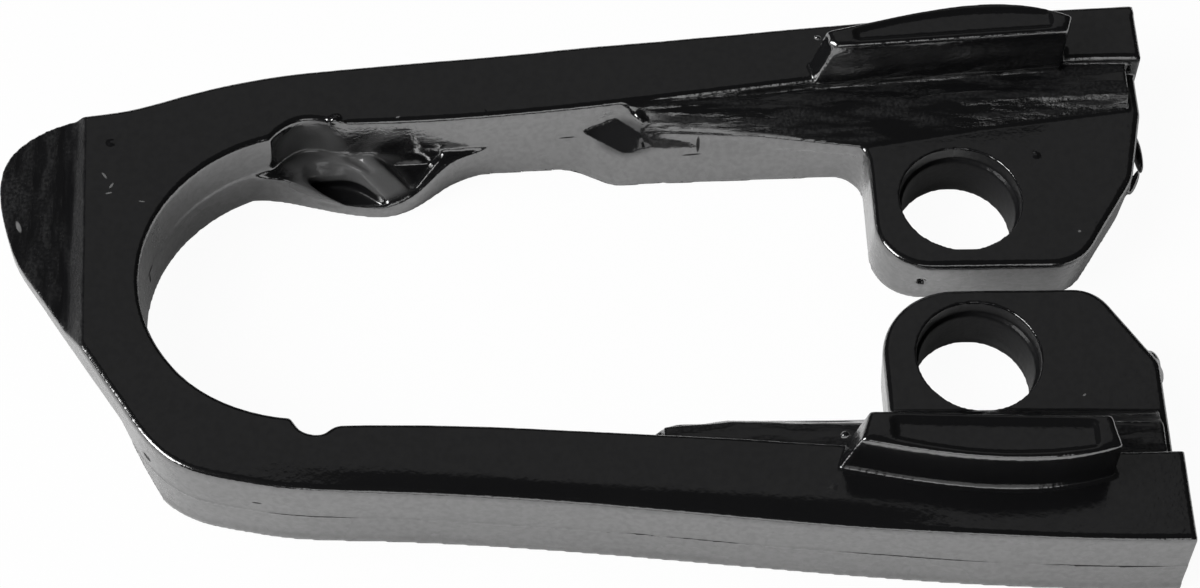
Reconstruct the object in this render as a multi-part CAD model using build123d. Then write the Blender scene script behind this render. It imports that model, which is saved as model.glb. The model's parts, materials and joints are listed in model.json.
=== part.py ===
"""Chain slider: one rubber moulding that straps round the front of a motorbike's swingarm.

Lengths are in millimetres. While it is built, x runs from the tip of the nose to the ends of the
legs, and y = 0 is the middle of the round bow. The finished part is then moved so that its origin
is at the middle of its underside.
"""
import os
from math import cos, radians, sin

from build123d import *

# Heights above the underside
leg_thickness = 22.0
tab_thickness = 15.2
guide_height = 13.0
parting_height = 10.0
mould_mismatch = 0.3

# Lengths along the slider
overall_length = 261.0
lower_leg_shortfall = 4.0
nose_reach = 32.5
step_to_bow = 12.0
bow_radius = 37.0
shelf_length = 50.0
tab_setback = 64.6
hole_setback = 44.5

# Inner faces of the legs: how far each stands outside the bow, then how far it splays
# on at the rib, at the start of the chain guide and at the end of the leg
upper_step = 2.9
lower_step = 1.8
upper_splay = (5.0, 10.6, 15.9)
lower_splay = (3.4, 7.0, 9.8)
recess_depth = 1.6
notch_depth = 2.0

# Widths of the legs at the bow, the rib, the guide and the end
upper_widths = (15.9, 17.1, 15.7, 15.5)
lower_widths = (16.3, 18.5, 20.0, 22.0)

# Wall around the bow, as angle about its centre and thickness
crown_walls = ((106, 17.5), (119, 19.3), (134, 24.8))
chin_walls = ((218.7, 14.4), (231, 16.8), (243, 18.1), (254, 17.2))

# Nose: it slopes down to its tip and is cut away underneath
nose_tip_y = 27.0
nose_shoulder = (10.5, 41.4)
nose_chin = (6.6, 3.9)
nose_tip_height = 16.6
nose_slope_angle = 10.0
nose_slope_lean = 2.0
nose_step_angle = 45.0
nose_step_turn = 2.3
nose_underside = 13.0
nose_undercut_x = 28.5
nose_undercut_turn = 12.0
nose_undercut_angle = 24.0

# Fastening tabs
hole_spacing = 41.9
hole_middle_y = 0.65
hole_radius = 12.9
counterbore_radius = 13.8
counterbore_depth = 4.0
upper_tab_edge = 3.3
lower_tab_edge = 2.8
tab_draft = 1.6
tab_edge_round = 1.4
upper_shelf_edge = 39.0
lower_shelf_edge = 35.8
shelf_flare = 3.4

# Banks between the tabs and the legs, as the distance from the leg's end, the height of the
# ledge, its width and the slope's width
upper_bank = ((118, 20.0, 1.6, 2.5), (89, 19.0, 4.5, 4.8), (64, 19.0, 5.0, 10.3),
              (38, 19.5, 6.7, 5.7), (3.5, 19.5, 7.7, 2.4))
lower_bank = ((111, 19.5, 2.9, 1.7), (97, 19.5, 5.0, 2.9), (67, 19.5, 6.0, 4.0),
              (60, 19.5, 6.2, 6.2), (35, 19.5, 7.4, 5.8), (3, 19.5, 7.7, 5.9))

# Raised chain guides, with their width at the start, in the middle and at the end
guide_length = 58.5
guide_setback = 17.5
lower_guide_shortfall = 2.5
upper_guide_widths = (4.6, 9.2, 4.4)
lower_guide_widths = (6.6, 10.8, 7.4)
guide_lean = 15.0
guide_skew = 20.0
guide_rim = 1.5
guide_dish = 0.9
guide_facet = 5.0
guide_edge_bevel = 0.6

# Inner lobe of the upper leg: its top falls away from the leg, and it has an arch and two pockets
lobe_height = 9.4
lobe_slope = 36.0
lobe_turn = 8.0
lobe_brow = 4.6
lobe_rim = 4.0
arch_foot = 5.5
eye_floor = 1.8
corner_floor = 5.2
groove_depth = 0.9

# Skirt along the foot of the upper leg, and the rib at the slanted end of the shelf
skirt_height = 12.5
skirt_slope = 49.0
skirt_turn = 17.0
rib_turn = 26.3
rib_lean = 15.2

# Rounded edges
running_edge_round = 1.2

# Places that follow from the sizes above
bow_x = nose_reach + bow_radius
step_x = nose_reach - step_to_bow
lower_end_x = overall_length - lower_leg_shortfall
tab_x = overall_length - tab_setback
hole_x = overall_length - hole_setback
shelf_x = tab_x - shelf_length
guide_end_x = overall_length - guide_setback
guide_x = guide_end_x - guide_length
leg_x = bow_x + 8
upper_bow_y = bow_radius + upper_step
lower_bow_y = bow_radius + lower_step
far = 2 * overall_length


def slab(outline, low, high):
    """The solid of an outline between two heights."""
    return extrude(Pos(0, 0, low) * outline, high - low, dir=(0, 0, 1))


def area(*lines):
    """The flat face inside a closed run of lines."""
    return make_face(Curve() + list(lines))


def polygon(*corners):
    """A closed outline of straight sides, from corners given as x, y and perhaps a radius."""
    places = [corner[:2] for corner in corners]
    if len(corners[0]) == 2:
        return make_face(Polyline(*places, close=True))
    return make_face(FilletPolyline(*places, radius=[corner[2] for corner in corners], close=True))


def soften(body, edges, radius):
    """Rounds edges, with a smaller radius where the full one doesn't fit."""
    for share in (1, 0.9, 0.75, 0.5):
        try:
            return fillet(edges, share * radius)
        except ValueError:
            continue
    return body


def around_bow(angle, wall=0.0):
    """A point on the bow's inner face, or outside it by the wall."""
    reach = bow_radius + wall
    return (bow_x + reach * cos(radians(angle)), reach * sin(radians(angle)))


def leg_faces(first_gap, splay, widths, side, end_x):
    """Points along a leg's inner and outer face, from the bow to the leg's end."""
    stations = (leg_x, shelf_x - 4, guide_x, end_x)
    gaps = [first_gap] + [first_gap + more for more in splay]
    inner = [(x, side * gap) for x, gap in zip(stations, gaps)]
    outer = [(x, side * (gap + width)) for x, gap, width in zip(stations, gaps, widths)]
    return inner, outer


upper_inner, upper_outer = leg_faces(upper_bow_y, upper_splay, upper_widths, 1, overall_length)
lower_inner, lower_outer = leg_faces(lower_bow_y, lower_splay, lower_widths, -1, lower_end_x)


def face_y(points, x):
    """The y of a leg's face at some x, between its points."""
    for (x0, y0), (x1, y1) in zip(points, points[1:]):
        if x <= x1:
            return y0 + (y1 - y0) * (x - x0) / (x1 - x0)
    return points[-1][1]


def u_outline():
    """Plan of the bow, the nose and both legs."""
    crown = [around_bow(angle, wall) for angle, wall in crown_walls]
    chin = [around_bow(angle, wall) for angle, wall in chin_walls]
    tip = [nose_shoulder, (1.6, nose_tip_y + 7.5), (0, nose_tip_y), (2.4, nose_tip_y - 13), nose_chin]
    upper_edge = Spline(*upper_inner)
    lower_edge = Spline(*lower_inner[::-1])
    recess_start = around_bow(104)
    recess = [recess_start, (bow_x - 4.8, upper_bow_y), (bow_x - 1, upper_bow_y + 0.8 * recess_depth),
              (bow_x + 3.2, upper_bow_y + 0.5 * recess_depth), upper_inner[0]]
    notch_start = around_bow(265)
    notch = [notch_start, (bow_x - 0.8, -lower_bow_y - 0.6 * notch_depth),
             (bow_x + 3.7, -lower_bow_y - notch_depth), lower_inner[0]]
    inside = ThreePointArc(notch_start, around_bow(180), recess_start)
    slant = Line(chin[0], nose_chin)
    upper_side = Spline(*upper_outer[::-1])
    lower_side = Spline(*lower_outer)
    return area(
        upper_side,
        Spline(upper_outer[0], *crown, *tip, tangents=[upper_side % 1, -(slant % 1)]),
        slant,
        Spline(*chin, lower_outer[0], tangents=[-(slant % 0), lower_side % 0]),
        lower_side,
        Line(lower_outer[-1], lower_inner[-1]),
        lower_edge,
        Spline(*notch[::-1], tangents=[lower_edge % 1, (-3, 4)]),
        inside,
        Spline(*recess, tangents=[(3, 4), upper_edge % 0]),
        upper_edge,
        Line(upper_inner[-1], upper_outer[-1]),
    )


def u_body():
    """The U with its nose: the lower mould half lay a little to one side of the upper one."""
    plan = u_outline()
    lower_half = Pos(0, -mould_mismatch, 0) * slab(plan, 0, parting_height)
    upper_half = slab(plan, parting_height, leg_thickness)
    top_edges = upper_half.edges().group_by(Axis.Z)[-1]
    upper_half = soften(upper_half, top_edges, running_edge_round)
    return lower_half + upper_half


def nose_cuts():
    """What is cut from the nose: above its sloping top, and below its raised underside."""
    above = Pos(0, nose_tip_y, nose_tip_height) * Rot(nose_slope_lean, -nose_slope_angle, 0)
    above *= Box(far, far, far, align=(Align.CENTER, Align.CENTER, Align.MIN))
    behind = Pos(step_x, 0, leg_thickness) * Rot(0, 0, nose_step_turn) * Rot(0, nose_step_angle, 0)
    behind *= Box(far, far, far, align=(Align.MIN, Align.CENTER, Align.CENTER))
    below = Pos(nose_undercut_x, 0, 0) * Rot(0, 0, nose_undercut_turn) * Rot(0, -nose_undercut_angle, 0)
    below *= Box(far, far, far, align=(Align.MAX, Align.CENTER, Align.CENTER))
    below &= Pos(0, 0, nose_underside) * Box(far, far, far, align=(Align.CENTER, Align.CENTER, Align.MAX))
    return (above - behind) + below


def tab(top_corners, base_corners, side):
    """A fastening tab with its shelf along the leg, and its counterbored hole."""
    rim_z = tab_thickness - tab_edge_round - 0.2
    plan = polygon(*top_corners)
    brim = slab(plan, rim_z, tab_thickness)
    brim = soften(brim, brim.edges().group_by(Axis.Z)[-1], tab_edge_round)
    body = brim + loft([Pos(0, 0, rim_z) * plan, polygon(*base_corners)], ruled=True)
    place = Pos(hole_x, hole_middle_y + side * hole_spacing / 2, 0)
    bore = place * Cylinder(hole_radius, 4 * tab_thickness)
    rim = place * Pos(0, 0, tab_thickness - counterbore_depth)
    rim *= Cylinder(counterbore_radius, tab_thickness, align=(Align.CENTER, Align.CENTER, Align.MIN))
    return body - bore - rim


def upper_tab():
    """The tab on the upper leg; its shelf flares towards the floor near the rib."""
    edge, foot = upper_tab_edge, upper_tab_edge + tab_draft
    shelf, start, end, root = upper_shelf_edge, shelf_x + 4, overall_length - 0.5, upper_bow_y + 10
    corner_x, slant_x, slant_y = tab_x + 0.705 * tab_setback, tab_x + 0.93 * tab_setback, 0.68 * shelf
    top = ((start, root, 1), (start, shelf + 1.6, 1), (tab_x, shelf - 0.6, 7), (tab_x, edge, 12),
           (corner_x, edge, 12), (slant_x, slant_y, 12), (end, root - 5, 3), (end, root + 10, 1))
    base = ((start, root, 1), (start, shelf + 1.6 - shelf_flare, 1), (tab_x, shelf - 0.4, 7),
            (tab_x, foot, 11), (corner_x - 0.5, foot, 11), (slant_x - 1, slant_y, 11),
            (end - 0.5, root - 5, 3), (end - 0.5, root + 10, 1))
    return tab(top, base, 1)


def lower_tab():
    """The tab on the lower leg."""
    edge, foot = -lower_tab_edge, -lower_tab_edge - tab_draft
    shelf, end, root = -lower_shelf_edge, lower_end_x - 0.7, -lower_bow_y - 12
    corner_x, end_y = tab_x + 0.74 * tab_setback, -0.63 * lower_shelf_edge
    top = ((shelf_x - 10, root, 3), (shelf_x - 1, shelf, 9), (tab_x - 1, shelf - 0.9, 3),
           (tab_x - 0.9, edge, 17), (corner_x, edge, 9), (end, end_y, 3), (end, root, 3))
    base = ((shelf_x - 10, root, 3), (shelf_x - 1, shelf - 0.8, 9), (tab_x, shelf - 1.7, 3),
            (tab_x, foot, 16), (corner_x - 0.7, foot, 8), (end - 1, end_y - 0.3, 2), (end - 1, root, 3))
    return tab(top, base, -1)


def bank(stations, faces, side, end_x):
    """The ledge and the slope between a tab and its leg."""
    sections = []
    for setback, ledge_z, ledge_width, slope_width in stations:
        x = end_x - setback
        riser = face_y(faces, x)
        ledge = riser - side * ledge_width
        foot = ledge - side * slope_width
        low = tab_thickness - 4
        corners = [(riser + 3 * side, low), (riser + 3 * side, ledge_z), (ledge, ledge_z),
                   (foot, tab_thickness), (foot, low)]
        sections.append(Plane.YZ.offset(x) * polygon(*corners))
    return loft(sections, ruled=True)


def guide(faces, widths, side, end_x):
    """A raised, dished guide that the chain runs along."""
    first, middle, last = (side * width for width in widths)

    def inner(x, away=0.0):
        return (x, face_y(faces, x) + side * (away - 0.5))

    def outer(x, width, away=0.0):
        return (x, face_y(faces, x) - side * (away + 0.5) + width)

    start, end = inner(guide_x), inner(end_x - 1.5)
    bulge_x = guide_x + 0.48 * (end_x - guide_x)
    shoulder_x = guide_x + 0.8 * (end_x - guide_x)
    edge = Spline(outer(end_x, last), outer(shoulder_x, 0.94 * middle), outer(bulge_x, middle),
                  outer(guide_x - 2.5, first))
    plan = area(Line(start, end), Line(end, edge @ 0), edge, Line(edge @ 1, start))
    top = leg_thickness + guide_height
    body = slab(plan, tab_thickness + 2, top)
    lean = Pos(*start, leg_thickness) * Rot(0, 0, side * guide_skew) * Rot(0, guide_lean, 0)
    body -= lean * Box(far, far, far, align=(Align.MAX, Align.CENTER, Align.CENTER))
    body = chamfer(body.edges().group_by(Axis.Z)[-1], guide_edge_bevel)
    dish_x, dish_end_x = guide_x + 8, end_x - guide_facet
    hollow = ThreePointArc(outer(dish_end_x, 0.85 * middle, guide_rim), outer(bulge_x, middle, guide_rim),
                           outer(dish_x, 0.3 * middle + 0.7 * first, guide_rim))
    near, away = inner(dish_x, guide_rim), inner(dish_end_x, guide_rim)
    dish = area(Line(near, away), Line(away, hollow @ 0), hollow, Line(hollow @ 1, near))
    return body - slab(dish, top - guide_dish, top + 1)


def lobe(*places):
    """Points of the inner lobe, from their distances to the bow's middle and the leg's face."""
    return [(bow_x + x, upper_bow_y + y, *rounding) for x, y, *rounding in places]


def falling_top(lift=0.0):
    """All that lies above the lobe's sloping top."""
    brow = Pos(bow_x + 16.5, upper_bow_y - 10.2, lobe_brow + lift)
    brow *= Rot(0, 0, lobe_turn) * Rot(lobe_slope, 0, 0)
    return brow * Box(far, far, far, align=(Align.CENTER, Align.CENTER, Align.MIN))


def eye_pocket():
    """The pocket at the front of the lobe, with a low rim; its rear wall leans back as an arch."""
    ridge = Spline(*lobe((-2.6, -4.6), (-1, -2), (4, -1.2), (8.6, -3), (14.3, -6.8), (18.4, -9.7)))
    foot = Spline(*lobe((-1.4, -5.2), (-0.4, -4.2), (2.7, -3.5), (8.4, -3.9), (13, -6.5), (17.1, -9.6)))
    corners = lobe((18.4, -20), (-14, -20), (-14, -4.6))
    before_ridge = area(ridge, Polyline(ridge @ 1, *corners, ridge @ 0))
    before_foot = area(foot, Polyline(foot @ 1, *corners, foot @ 0))
    arch = [Pos(0, 0, arch_foot) * before_foot, Pos(0, 0, lobe_height + 0.3) * before_ridge]
    before = slab(before_foot, 0, arch_foot) + loft(arch, ruled=True)
    rim_profile = polygon((bow_x - 20, lobe_rim + 11), (bow_x + 7.5, lobe_rim), (far, lobe_rim),
                          (far, far), (bow_x - 20, far))
    above_rim = extrude(Plane.XZ * rim_profile, far, both=True)
    hollow = area(foot, Spline(foot @ 1, *lobe((10.5, -9.8), (3.6, -8.4)), foot @ 0))
    return (before & above_rim) + slab(hollow, eye_floor, lobe_height)


def inner_lobe():
    """The lobe inside the upper leg, with the arch, a groove behind it and a corner pocket."""
    tail = around_bow(114)
    front = Spline(tail, *lobe((-6, -6.7), (3.6, -9.3), (10.5, -10.7), (17.4, -10.9), (24.3, -7.9),
                               (31.3, -2.5), (38, 0.4), (46, 2.2), (54, 4.2)))
    back = Polyline(front @ 1, *lobe((54, 7), (8, 2.6)), around_bow(108, 3), tail)
    body = slab(area(front, back), 0, lobe_height) - falling_top() - eye_pocket()
    groove = polygon(*lobe((6, -0.5), (9.5, 0.6), (14.3, -4.6), (18.3, -8.8), (14.9, -5.9),
                           (9.2, -1.8)))
    body -= slab(groove, lobe_height - groove_depth, far)
    body -= slab(groove, 0, lobe_height) & falling_top(-groove_depth)
    floor = polygon(*lobe((16.5, 1.6, 1), (28, 1.9, 1), (22.6, -8, 1)))
    mouth = polygon(*lobe((10.6, 1.6, 1), (32, 1.9, 1), (22.8, -10.8, 1)))
    corner = [Pos(0, 0, corner_floor) * floor, Pos(0, 0, lobe_height + 1) * mouth]
    return body - loft(corner, ruled=True)


def skirt():
    """The flared foot of the upper leg between the lobe and the shelf, with its sloping top."""
    run, wall, end = shelf_x - leg_x, upper_bow_y, shelf_x + 16
    start, rise, middle, turn = (leg_x + share * run for share in (0.32, 0.37, 0.74, 0.89))
    foot = ((start, wall + 8, 1), (rise, wall + 0.3, 1), (middle, wall + 1.7, 0.17 * run),
            (turn, wall - 3.3, 0.13 * run), (shelf_x + 3.6, wall - 2.5, 0.13 * run), (end, wall - 1.8, 1),
            (end, wall + 8, 1))
    top = ((start, wall + 8, 1), (rise, wall + 4.1, 1), (middle, wall + 5.4, 0.09 * run),
           (shelf_x - 0.025 * run, wall - 1.7, 0.11 * run), (shelf_x + 5, wall + 1.2, 0.11 * run),
           (end, wall + 2, 1), (end, wall + 8, 1))
    body = loft([polygon(*foot), Pos(0, 0, skirt_height + 4.5) * polygon(*top)], ruled=True)
    brow = Pos(shelf_x - 9.2, wall + 1.1, skirt_height) * Rot(0, 0, -skirt_turn) * Rot(skirt_slope, 0, 0)
    body -= brow * Box(far, far, far, align=(Align.CENTER, Align.CENTER, Align.MIN))
    under_shelf = Pos(shelf_x - 1.5, 0, skirt_height)
    return body - under_shelf * Box(far, far, far, align=(Align.MIN, Align.CENTER, Align.MIN))


def rib_profile(x, away, drop):
    """The rib's section at some x, set back and lowered to fade into the bank."""
    places = ((9, 0), (9, leg_thickness - 0.3), (4.6, leg_thickness - 0.3), (3.5, 20), (2.2, 18),
              (1, 16.5), (0.3, tab_thickness + 0.2), (-1.3, skirt_height), (-2.7, 0))
    corners = [(upper_bow_y + y + away, max(z - drop, 0)) for y, z in places]
    return Plane.YZ.offset(x) * polygon(*corners)


def upper_fastening():
    """The upper tab, its bank and the rib, which share one slanted, leaning end."""
    rib = loft([rib_profile(shelf_x - 10, -0.6, 0), rib_profile(shelf_x + 26, 1.8, 2.6)], ruled=True)
    end = Pos(shelf_x - 9.8, upper_bow_y + 4.2, skirt_height) * Rot(0, 0, -rib_turn) * Rot(-rib_lean, 0, 0)
    end *= Box(32, 20, far, align=(Align.CENTER, Align.MAX, Align.CENTER))
    return upper_tab() + bank(upper_bank, upper_inner, 1, overall_length) + rib - end


slider = u_body() - nose_cuts()
slider += upper_fastening()
slider += lower_tab()
slider += bank(lower_bank, lower_inner, -1, lower_end_x)
slider += guide(upper_inner, upper_guide_widths, 1, guide_end_x)
slider += guide(lower_inner, lower_guide_widths, -1, guide_end_x - lower_guide_shortfall)
slider += inner_lobe()
slider += skirt()

# The middle of the underside becomes the origin
box = slider.bounding_box()
slider = Pos(-box.center().X, -box.center().Y, -box.min.Z) * slider
moulding = slider.solids()[0]
moulding.label = "chain_slider"

os.makedirs("parts", exist_ok=True)
export_step(moulding, "parts/chain_slider.step")
print("size", slider.bounding_box().size, "solids", len(slider.solids()), "valid", moulding.is_valid)
print("hole middle", hole_x - box.center().X, hole_middle_y - box.center().Y)
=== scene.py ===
import json
import math

import bmesh
import bpy
from mathutils import Matrix, Vector, noise


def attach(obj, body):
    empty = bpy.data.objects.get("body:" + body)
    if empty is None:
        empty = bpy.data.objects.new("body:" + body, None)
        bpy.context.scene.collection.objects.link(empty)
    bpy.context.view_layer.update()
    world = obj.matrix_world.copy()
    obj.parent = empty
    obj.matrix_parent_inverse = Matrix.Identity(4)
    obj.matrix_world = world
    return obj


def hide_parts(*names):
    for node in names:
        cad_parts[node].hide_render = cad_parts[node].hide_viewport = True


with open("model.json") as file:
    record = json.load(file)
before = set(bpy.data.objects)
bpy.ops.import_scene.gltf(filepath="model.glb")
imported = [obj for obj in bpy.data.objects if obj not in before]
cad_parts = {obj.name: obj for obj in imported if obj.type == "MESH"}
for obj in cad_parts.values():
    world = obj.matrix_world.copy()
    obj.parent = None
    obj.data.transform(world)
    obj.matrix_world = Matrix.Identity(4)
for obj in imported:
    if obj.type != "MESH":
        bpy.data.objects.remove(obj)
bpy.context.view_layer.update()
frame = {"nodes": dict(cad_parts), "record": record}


# The moulding: one piece of hard black rubber, pressed hot in a two-part mould and bolted to a
# swingarm through its two tabs. Its edges are a little soft and its broad faces are slightly wavy,
# as rubber is when it leaves the mould.
def copy_of(node, name):
    """A new object with a merged copy of a solid's mesh."""
    same_spot = 1e-6
    mesh = frame["nodes"][node].data.copy()
    shape = bmesh.new()
    shape.from_mesh(mesh)
    bmesh.ops.remove_doubles(shape, verts=shape.verts, dist=same_spot)
    shape.to_mesh(mesh)
    shape.free()
    mesh.materials.clear()
    piece = bpy.data.objects.new(name, mesh)
    bpy.context.scene.collection.objects.link(piece)
    return piece


def bake(piece):
    """Puts the modifiers' result into the piece's own mesh."""
    graph = bpy.context.evaluated_depsgraph_get()
    graph.update()
    mesh = bpy.data.meshes.new_from_object(piece.evaluated_get(graph))
    piece.modifiers.clear()
    piece.data = mesh


def smooth(piece, name, passes):
    """Adds a modifier that evens out the mesh; each pass moves a vertex halfway to its neighbours."""
    modifier = piece.modifiers.new(name, "SMOOTH")
    modifier.factor = 0.5
    modifier.iterations = passes
    return modifier


def ease(value, start, end):
    """Rises smoothly from 0 at start to 1 at end."""
    share = min(max((value - start) / (end - start), 0), 1)
    return share * share * (3 - 2 * share)


def millimetres(*numbers):
    """A point or a size that is written in millimetres."""
    return Vector(numbers) / 1000


moulding = copy_of("chain_slider", "moulding")

# Nibs and tongues of rubber that squeezed into the mould's vents and joints: the middle and
# the reach of each, in millimetres, and its turn about the vertical, in degrees
flash = (
    ((-55.4, 40.8, 21.9), (1.5, 1.1, 1.1), 20),
    ((-53.7, 40.4, 21.4), (0.9, 0.8, 0.9), 0),
    ((13.6, 42.3, 18.9), (1.1, 0.8, 1.1), -30),
    ((14.6, 41.7, 18.1), (0.8, 0.6, 0.8), 10),
    ((129.6, 38.2, 8.0), (0.9, 5.5, 2.6), 4),
    ((127.6, 29.4, 9.0), (0.8, 3.6, 1.8), -25),
    ((129.9, 69.0, 19.5), (0.8, 1.6, 2.8), 0),
    ((124.9, -20.8, 13.0), (1.0, 2.4, 1.4), 25),
    ((125.7, -24.6, 12.2), (1.0, 2.4, 1.8), 0),
    ((52.5, -50.6, 33.2), (1.2, 0.9, 1.1), 20),
    ((54.2, 53.4, 33.6), (1.2, 0.9, 0.9), -20),
    ((57.0, 51.9, 33.8), (0.8, 0.8, 0.8), 0),
)
shape = bmesh.new()
shape.from_mesh(moulding.data)
for middle, reach, turn in flash:
    lump = bmesh.ops.create_icosphere(shape, subdivisions=3, radius=1)["verts"]
    bmesh.ops.scale(shape, verts=lump, vec=millimetres(*reach))
    bmesh.ops.rotate(shape, verts=lump, matrix=Matrix.Rotation(math.radians(turn), 3, "Z"))
    bmesh.ops.translate(shape, verts=lump, vec=millimetres(*middle))
shape.to_mesh(moulding.data)
shape.free()

# The melt joins the flash to the solid and gives every edge a small radius
melt = moulding.modifiers.new("melt", "REMESH")
melt.mode = "VOXEL"
melt.voxel_size = 0.0004
smooth(moulding, "relax", 5)
bake(moulding)

# Waves in the faces, as how many to the metre and how high. They start above the underside, which
# is pressed flat.
waves = ((38, 0.00022), (130, 0.00005))
underside_top, waves_start = 0.0006, 0.002

# A crown along the lower leg's outer edge, which stands at leg_foot_y + leg_flare * x. It comes in
# along crown_start, goes out along crown_stop and dies down the wall through crown_heights.
leg_foot_y, leg_flare = -0.0602, -0.097
crown_width, crown_fall, crown_curve = 0.0070, 0.00085, 1.5
crown_start, crown_stop, crown_heights = (-0.080, -0.030), (0.085, 0.050), (0.011, 0.0215)

# A ledge of uneven depth in the lower leg's outer wall, below the height where the mould parted
parting_height, ledge_depth, ledge_swing, ledge_waves = 0.010, 0.00024, 0.0002, 55
outer_wall_y, outer_wall_normal, ledge_heights = -0.03, -0.4, (0.0005, 0.003)

# A pinhole and two pimples: the middle and the radius of each, and its depth, which is negative
# where it stands out. Each is flat over dent_floor of its radius.
dents = (
    (millimetres(76.2, 3.9, 7.6), 0.0014, 0.0012),
    (millimetres(104.4, 33.1, 15.2), 0.0011, -0.0003),
    (millimetres(-105.5, 35.2, 22.0), 0.0012, -0.0003),
)
dent_floor = 0.3

# Where the edges are worn round: the lobe, the rib and the tops of the two guides, with the middle
# and the reach of each, and how much of the softening it gets. The core gets all of that.
worn_zones = (
    (millimetres(-50, 33, 9), millimetres(28, 13, 10), 1.0),
    (millimetres(10, 42, 14), millimetres(12, 7, 9), 0.8),
    (millimetres(83, 55, 35), millimetres(38, 12, 5), 1.0),
    (millimetres(82, -54, 35), millimetres(38, 10, 5), 1.0),
)
worn_core = 0.75

worn = moulding.vertex_groups.new(name="worn")
outward = [vertex.normal.copy() for vertex in moulding.data.vertices]
for vertex, normal in zip(moulding.data.vertices, outward):
    place = vertex.co.copy()
    if place.z < underside_top:
        vertex.co.z = 0
    elif place.z > waves_start:
        vertex.co += normal * sum(noise.noise(place * pitch) * rise for pitch, rise in waves)
    if place.y < 0:
        inwards = place.y - leg_foot_y - leg_flare * place.x
        part = ease(place.x, *crown_start) * ease(place.x, *crown_stop) * ease(place.z, *crown_heights)
        vertex.co.z -= crown_fall * part * ease(inwards, crown_width, 0) ** crown_curve
    if place.z < parting_height and normal.y < outer_wall_normal and place.y < outer_wall_y:
        ledge = ledge_depth + ledge_swing * noise.noise(Vector((place.x * ledge_waves, 0, 3)))
        vertex.co.y += ledge * ease(place.z, *ledge_heights)
    for middle, radius, depth in dents:
        away = (place - middle).length
        if away < radius:
            vertex.co -= normal * depth * ease(away, radius, dent_floor * radius)
    for middle, reach, share in worn_zones:
        offset = place - middle
        away = math.sqrt(sum((offset[axis] / reach[axis]) ** 2 for axis in range(3)))
        if away < 1:
            worn.add([vertex.index], share * ease(away, 1, worn_core), "REPLACE")
smooth(moulding, "soften", 24).vertex_group = "worn"
thin = moulding.modifiers.new("thin", "DECIMATE")
thin.ratio = 0.2
bake(moulding)
moulding.data.shade_smooth()


def surface_pattern(material, kind, scale, stretch=(1, 1, 1), detail=4.0):
    """A texture on the piece's own coordinates, stretched along its axes."""
    nodes, links = material.node_tree.nodes, material.node_tree.links
    coordinates = nodes.new("ShaderNodeTexCoord")
    mapping = nodes.new("ShaderNodeMapping")
    mapping.inputs["Scale"].default_value = stretch
    pattern = nodes.new(kind)
    pattern.inputs["Scale"].default_value = scale
    if "Detail" in pattern.inputs:
        pattern.inputs["Detail"].default_value = detail
    links.new(coordinates.outputs["Object"], mapping.inputs["Vector"])
    links.new(mapping.outputs["Vector"], pattern.inputs["Vector"])
    return pattern


def ramp(material, pattern, stops):
    """Turns a noise pattern into greys between stops of place and grey."""
    band = material.node_tree.nodes.new("ShaderNodeValToRGB")
    for element, (place, grey) in zip(band.color_ramp.elements, stops):
        element.position = place
        element.color = (grey, grey, grey, 1)
    material.node_tree.links.new(pattern.outputs["Fac"], band.inputs["Fac"])
    return band.outputs["Color"]


def maths(material, operation, first, *others):
    """Works through several values; each is a number or what another node puts out.

    An operation on one value takes 0 as its second.
    """
    result = first
    for other in others:
        node = material.node_tree.nodes.new("ShaderNodeMath")
        node.operation = operation
        for socket, value in zip(node.inputs, (result, other)):
            if isinstance(value, (int, float)):
                socket.default_value = value
            else:
                material.node_tree.links.new(value, socket)
        result = node.outputs["Value"]
    return result


def between(material, value, start, end):
    """Turns a value smoothly from 0 at start to 1 at end."""
    node = material.node_tree.nodes.new("ShaderNodeMapRange")
    node.interpolation_type = "SMOOTHSTEP"
    node.inputs["From Min"].default_value = start
    node.inputs["From Max"].default_value = end
    material.node_tree.links.new(value, node.inputs["Value"])
    return node.outputs["Result"]


def mark(material, middle, reach, turn=0.0, core=0.6):
    """An oval patch: middle and reach in millimetres, turned about the vertical, full in its core."""
    nodes, links = material.node_tree.nodes, material.node_tree.links
    coordinates = nodes.new("ShaderNodeTexCoord")
    mapping = nodes.new("ShaderNodeMapping")
    mapping.vector_type = "TEXTURE"
    mapping.inputs["Location"].default_value = millimetres(*middle)
    mapping.inputs["Rotation"].default_value = (0, 0, math.radians(turn))
    mapping.inputs["Scale"].default_value = millimetres(*reach)
    away = nodes.new("ShaderNodeVectorMath")
    away.operation = "LENGTH"
    links.new(coordinates.outputs["Object"], mapping.inputs["Vector"])
    links.new(mapping.outputs["Vector"], away.inputs[0])
    return between(material, away.outputs["Value"], 1.0, core)


rubber_black = (0.0045, 0.0045, 0.005)
rubber = bpy.data.materials.new("gloss_black_rubber")
rubber.use_nodes = True
nodes, links = rubber.node_tree.nodes, rubber.node_tree.links
shader = nodes["Principled BSDF"]
shader.inputs["IOR"].default_value = 1.32
shader.inputs["Coat IOR"].default_value = 2.9
shader.inputs["Coat Roughness"].default_value = 0.12
surface = nodes.new("ShaderNodeTexCoord")
spot = nodes.new("ShaderNodeSeparateXYZ")
links.new(surface.outputs["Object"], spot.inputs["Vector"])
along, across, height = (spot.outputs[name] for name in ("X", "Y", "Z"))
facing = nodes.new("ShaderNodeSeparateXYZ")
links.new(surface.outputs["Normal"], facing.inputs["Vector"])

# The nose: rough over its top face, with an evenly dull step where it meets the bow
nose_end, nose_fade, step_width, step_fade, step_turn = -0.1094, 0.0008, 0.0050, 0.001, 0.04
upward = (0.35, 0.65)
step_end = nose_end - step_width
slantwise = maths(rubber, "ADD", along, maths(rubber, "MULTIPLY", across, step_turn))
top_face = between(rubber, facing.outputs["Z"], *upward)
nose = maths(rubber, "MULTIPLY", top_face, between(rubber, slantwise, nose_end, nose_end - nose_fade))
step = maths(rubber, "MULTIPLY", nose, between(rubber, slantwise, step_end - step_fade, step_end))

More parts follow.
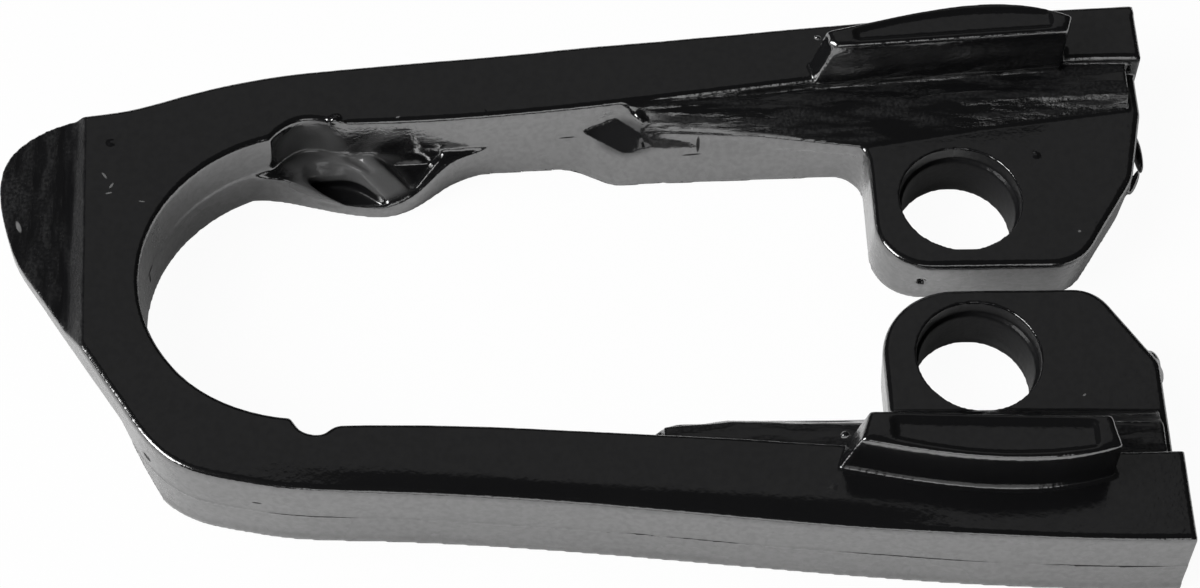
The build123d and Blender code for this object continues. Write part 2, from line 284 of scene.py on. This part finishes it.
# The banks beside the tabs, inwards of bank_edge_y + bank_flare * x, where the mould was rough
bank_edge_y, bank_flare, bank_fade = 0.050, 0.07, 0.0005
bank_foot, bank_brow, bank_start = (0.0154, 0.0159), (0.0214, 0.0208), (0.012, 0.022)
bank_edge = maths(rubber, "ADD", maths(rubber, "MULTIPLY", along, bank_flare), bank_edge_y)
outwards = maths(rubber, "SUBTRACT", maths(rubber, "ABSOLUTE", across, 0), bank_edge)
bank = maths(
    rubber, "MULTIPLY",
    between(rubber, outwards, bank_fade, -bank_fade),
    between(rubber, height, *bank_foot),
    between(rubber, height, *bank_brow),
    between(rubber, along, *bank_start),
)

# The dull walls of the two holes, out to the walls of their counterbores
counterbore, bore_core, through = 1.2, 0.97, 1000
bores = []
for mount in frame["record"]["mounts"]:
    if mount["kind"] == "bore":
        middle = [1000 * value for value in mount["pos_m"]]
        wall = mount["dims"]["r_mm"] + counterbore
        bores.append(mark(rubber, middle, (wall, wall, through), core=bore_core))

# The lobe's arch and its shoulder, dulled and lightened with a painted reflection of bright light, and
# the dark pockets in lobe and rib, which are kept out of that painted reflection
shoulder_share = 0.8
cavity = mark(rubber, (-52.8, 34, 2.6), (10, 4.5, 2.8), core=0.75)
hollow = mark(rubber, (11, 41, 13.5), (9, 5, 6))
arch = mark(rubber, (-52, 34.5, 7.5), (17, 9, 4.5), core=0.7)
shoulder = mark(rubber, (-61, 38.5, 13), (10, 7, 10))
lobe = maths(rubber, "MAXIMUM", arch, maths(rubber, "MULTIPLY", shoulder, shoulder_share))
lobe = maths(rubber, "MULTIPLY", lobe, maths(rubber, "SUBTRACT", 1.0, cavity))

# Scars: a T-shaped mould mark in the bow, nicks and scores in the walls, and the open places of
# the parting line along the lower leg
scars = (
    ((-96.9, 8.9, 9.6), (1.0, 2.3, 0.45), 0),
    ((-97.1, 8.0, 7.6), (1.0, 0.5, 2.0), 0),
    ((-40.3, 40.4, 18.7), (3.2, 0.8, 0.6), 2),
    ((-34.1, 40.5, 12.9), (6.0, 0.8, 0.28), 2),
    ((27.4, 39.7, 12.0), (0.5, 1.6, 3.2), 0),
    ((26.0, 38.9, 9.0), (2.6, 0.8, 0.35), 2),
    ((-2.8, 43.0, 10.8), (2.6, 0.7, 0.3), -4),
    ((-21.0, 42.2, 21.9), (0.3, 1.2, 0.8), 30),
    ((-95.2, -41.5, 13.4), (1.7, 1.2, 1.1), -50),
    ((-71.5, -53.4, 13.6), (1.3, 0.8, 0.35), -8),
    ((-60.0, -55.0, 10.3), (12.0, 1.3, 0.16), -4.6),
    ((-34.8, -57.2, 10.3), (4.5, 0.8, 0.26), -5),
    ((10.0, -61.0, 10.2), (3.6, 0.8, 0.24), -6),
    ((24.0, -62.4, 10.2), (11.0, 1.3, 0.16), -5.5),
    ((68.0, -67.5, 10.3), (20.0, 1.5, 0.17), -4.5),
    ((109.0, -70.2, 10.2), (15.5, 1.5, 0.30), -2.6),
)

# All the places without gloss, with the streaks on the banks and the rows of bumps on the nose
lobe_dryness, hollow_dryness = 0.75, 0.6
streaks = surface_pattern(rubber, "ShaderNodeTexNoise", 420, stretch=(0.18, 1, 1), detail=6)
bands = surface_pattern(rubber, "ShaderNodeTexNoise", 300, stretch=(1, 0.2, 1), detail=5)
patches = maths(rubber, "MULTIPLY", bank, ramp(rubber, streaks, [(0.46, 0.0), (0.58, 1.0)]))
bumps = maths(rubber, "MULTIPLY", nose, ramp(rubber, bands, [(0.4, 0.0), (0.6, 1.0)]))
rough = maths(rubber, "MAXIMUM", patches, bumps)
dull_lobe = maths(rubber, "MULTIPLY", lobe, lobe_dryness)
dull_hollow = maths(rubber, "MULTIPLY", hollow, hollow_dryness)
dry = maths(rubber, "MAXIMUM", rough, step, *bores, dull_lobe, cavity, dull_hollow,
            *[mark(rubber, *scar) for scar in scars])

# The gloss: a clear skin of uneven strength over softer rubber, gone where the surface is dry
nose_polish, dry_roughness, skin_loss = 0.6, 0.3, 0.95
cloudy = surface_pattern(rubber, "ShaderNodeTexNoise", 60, detail=5)
mottled = surface_pattern(rubber, "ShaderNodeTexNoise", 700, detail=6)
soft_gloss = ramp(rubber, cloudy, [(0.3, 0.22), (0.7, 0.36)])
polished_nose = maths(rubber, "MULTIPLY", nose, nose_polish)
dulled = maths(rubber, "MULTIPLY", maths(rubber, "SUBTRACT", dry, polished_nose), dry_roughness)
links.new(maths(rubber, "ADD", soft_gloss, dulled), shader.inputs["Roughness"])
skin = ramp(rubber, mottled, [(0.35, 0.86), (0.6, 1.0)])
skin_left = maths(rubber, "SUBTRACT", 1.0, maths(rubber, "MULTIPLY", dry, skin_loss))
links.new(maths(rubber, "MULTIPLY", skin, skin_left), shader.inputs["Coat Weight"])

# Dust: sparse fine grains all over, and the larger specks and nicks that the light catches
specks = (
    ((25.9, 41.2, 16.3), (0.3, 0.6, 0.3), 0),
    ((-41.2, 41.2, 22.0), (0.6, 0.25, 0.5), 15),
    ((-106.6, 26.2, 22.0), (0.3, 1.2, 0.6), 35),
    ((-104.9, 23.4, 22.0), (0.3, 1.0, 0.6), -30),
    ((-105.4, 21.4, 22.0), (0.9, 0.25, 0.6), 12),
    ((-98.0, 19.0, 22.0), (0.8, 0.2, 0.6), -10),
    ((-125.6, 16.0, 16.5), (0.6, 2.0, 2.0), 20),
    ((112.0, 12.0, 15.2), (0.4, 0.4, 0.5), 0),
    ((108.0, -31.0, 15.2), (0.5, 0.3, 0.5), 40),
)
lint = maths(rubber, "MAXIMUM", *[mark(rubber, *speck) for speck in specks])
grains = surface_pattern(rubber, "ShaderNodeTexVoronoi", 330)
grain = between(rubber, grains.outputs["Distance"], 0.13, 0.05)
dust = maths(rubber, "MULTIPLY", grain, ramp(rubber, cloudy, [(0.5, 0.0), (0.62, 1.0)]))

# The colour: black, greyed by as much light as each layer scatters, and lighter on the lobe with a
# painted reflection
lobe_painted_reflection, lint_grey, dust_grey = 0.085, 0.16, 0.05
speckle = surface_pattern(rubber, "ShaderNodeTexNoise", 1500, detail=3)
grey_and_painted_reflection = maths(
    rubber, "ADD",
    maths(rubber, "MULTIPLY", rough, ramp(rubber, speckle, [(0.4, 0.003), (0.65, 0.016)])),
    # Painted reflection: the lobe's arch and shoulder get a lighter grey where the rubber would mirror
    # bright light
    maths(rubber, "MULTIPLY", lobe, lobe_painted_reflection),
    maths(rubber, "MULTIPLY", lint, lint_grey),
    maths(rubber, "MULTIPLY", dust, dust_grey),
)
colour = nodes.new("ShaderNodeCombineColor")
for channel, black in zip(colour.inputs, rubber_black):
    links.new(maths(rubber, "ADD", black, grey_and_painted_reflection), channel)
links.new(colour.outputs["Color"], shader.inputs["Base Color"])

# The grain of the surface: fine pits all over, and more of it on the streaks and the bumps
bump_relief, streak_relief = 3.0, 4.0
pitted = surface_pattern(rubber, "ShaderNodeTexNoise", 900, detail=3)
bumpy = maths(rubber, "MULTIPLY", rough, speckle.outputs["Fac"], bump_relief)
streaked = maths(rubber, "MULTIPLY", bank, streaks.outputs["Fac"], streak_relief)
bump = nodes.new("ShaderNodeBump")
bump.inputs["Strength"].default_value = 0.22
bump.inputs["Distance"].default_value = 0.0003
links.new(maths(rubber, "ADD", pitted.outputs["Fac"], bumpy, streaked), bump.inputs["Height"])
links.new(bump.outputs["Normal"], shader.inputs["Normal"])
links.new(bump.outputs["Normal"], shader.inputs["Coat Normal"])
moulding.data.materials.append(rubber)
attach(moulding, "root")
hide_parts("chain_slider")


# The table it lies on: a plain white board. The camera sees the board as white with a little of
# the shadow, and the rubber's shine sees a dim share of it.
board_reach = 3
board_white = (0.85, 0.85, 0.85, 1)
camera_share, shine_share = 0.96, 0.12
board_shape = bmesh.new()
bmesh.ops.create_grid(board_shape, x_segments=1, y_segments=1, size=board_reach)
board_mesh = bpy.data.meshes.new("board")
board_shape.to_mesh(board_mesh)
board_shape.free()
board = bpy.data.objects.new("board", board_mesh)
bpy.context.scene.collection.objects.link(board)
card = bpy.data.materials.new("white_card")
card.use_nodes = True
card_nodes, card_links = card.node_tree.nodes, card.node_tree.links
card_shader = card_nodes["Principled BSDF"]
card_shader.inputs["Base Color"].default_value = board_white
card_shader.inputs["Roughness"].default_value = 0.9
card_shader.inputs["Specular IOR Level"].default_value = 0.0
glow = card_nodes.new("ShaderNodeEmission")
glow.inputs["Strength"].default_value = 1.0
rays = card_nodes.new("ShaderNodeLightPath")
shine = maths(card, "MULTIPLY", rays.outputs["Is Glossy Ray"], shine_share)
seen = maths(card, "MULTIPLY", rays.outputs["Is Camera Ray"], camera_share)
mix = card_nodes.new("ShaderNodeMixShader")
card_links.new(maths(card, "MAXIMUM", seen, shine), mix.inputs["Fac"])
card_links.new(card_shader.outputs["BSDF"], mix.inputs[1])
card_links.new(glow.outputs["Emission"], mix.inputs[2])
card_links.new(mix.outputs["Shader"], card_nodes["Material Output"].inputs["Surface"])
board.data.materials.append(card)


# The light: a broad lamp and the light of a room from the left, a low card in front that lifts the
# near edges, and a dim card behind that the tops mirror. The room's light gives no shine.
def lamp(name, place, size, glow):
    """A square soft lamp that points at the middle of the table; glow is how bright it looks."""
    data = bpy.data.lights.new(name, "AREA")
    data.size = size
    data.energy = glow * math.pi * size * size
    light = bpy.data.objects.new(name, data)
    light.location = place
    light.rotation_euler = (-Vector(place)).to_track_quat("-Z", "Y").to_euler()
    bpy.context.scene.collection.objects.link(light)
    return light


lamp("soft_lamp", (-2.2, -0.7, 1.5), 1.4, 6.0)
lamp("room_light", (-2.0, -0.2, 1.9), 2.4, 4.4).visible_glossy = False
lamp("front_card", (0.1, -1.6, 0.62), 0.9, 0.8)
lamp("back_card", (0.06, 1.22, 1.5), 1.35, 0.050)
world = bpy.data.worlds.new("studio")
world.use_nodes = True
backdrop = world.node_tree.nodes["Background"]
backdrop.inputs["Color"].default_value = (1, 1, 1, 1)
backdrop.inputs["Strength"].default_value = 0.012
bpy.context.scene.world = world


# The camera: a long lens that looks down on the table from its open side. It is turned a little
# to the right and about its own axis, as the edges in the photograph show.
lens_turn, lens_down, lens_roll = math.radians(4.4244), math.radians(57.16), math.radians(2.84)
lens_place = Vector((-0.02631, -0.38516, 0.60879))
ahead = Vector((math.sin(lens_turn) * math.cos(lens_down), math.cos(lens_turn) * math.cos(lens_down),
                -math.sin(lens_down)))
level = Vector((math.cos(lens_turn), -math.sin(lens_turn), 0))
below = ahead.cross(level)
right = level * math.cos(lens_roll) - below * math.sin(lens_roll)
down = level * math.sin(lens_roll) + below * math.cos(lens_roll)
camera_data = bpy.data.cameras.new("camera")
camera_data.sensor_width = 36
camera_data.lens = 95.73
camera_data.shift_y = 0.0008
camera = bpy.data.objects.new("camera", camera_data)
camera.matrix_world = Matrix((
    (right.x, -down.x, -ahead.x, lens_place.x),
    (right.y, -down.y, -ahead.y, lens_place.y),
    (right.z, -down.z, -ahead.z, lens_place.z),
    (0, 0, 0, 1),
))
bpy.context.scene.collection.objects.link(camera)
bpy.context.scene.camera = camera
bpy.context.scene.view_settings.view_transform = "Standard"
